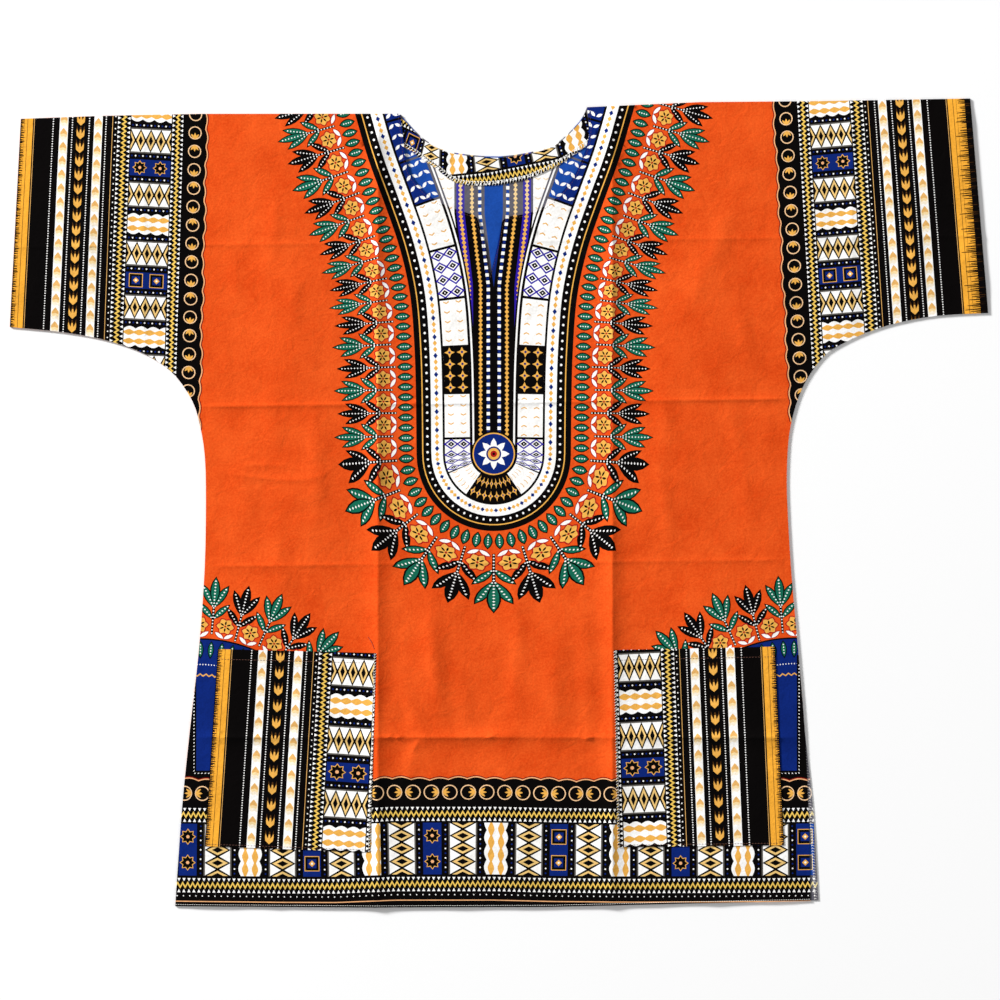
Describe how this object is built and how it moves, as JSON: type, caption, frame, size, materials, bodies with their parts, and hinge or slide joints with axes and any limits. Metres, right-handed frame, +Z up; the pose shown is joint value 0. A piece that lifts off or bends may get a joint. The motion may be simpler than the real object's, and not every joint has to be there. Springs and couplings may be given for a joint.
{
  "type": "dashiki shirt",
  "caption": "Loose pullover shirt laid flat: wide grown-on sleeves, deep scooped neck with a short slit, patch pockets, a slit side seam and printed borders.",
  "frame": {"origin": "bottom centre of the bounding box, on the surface that the shirt lies on", "axes": "+X across the shirt to the right of someone who looks at its front with the shoulders up, +Y from the hem to the shoulders, +Z up from the surface, out of the front"},
  "size_m": [1.115, 0.922, 0.011],
  "materials": {
    "orange_printed_cotton": "plain-woven cotton, wax-style print on an orange ground, matt",
    "border_printed_cotton": "plain-woven cotton cut from the cloth's dark printed border, matt"
  },
  "bodies": {
    "root": {"back": "orange_printed_cotton", "front": "orange_printed_cotton", "back_neck_facing": "border_printed_cotton", "pocket_left": "border_printed_cotton", "pocket_right": "border_printed_cotton"}
  },
  "joints": []
}
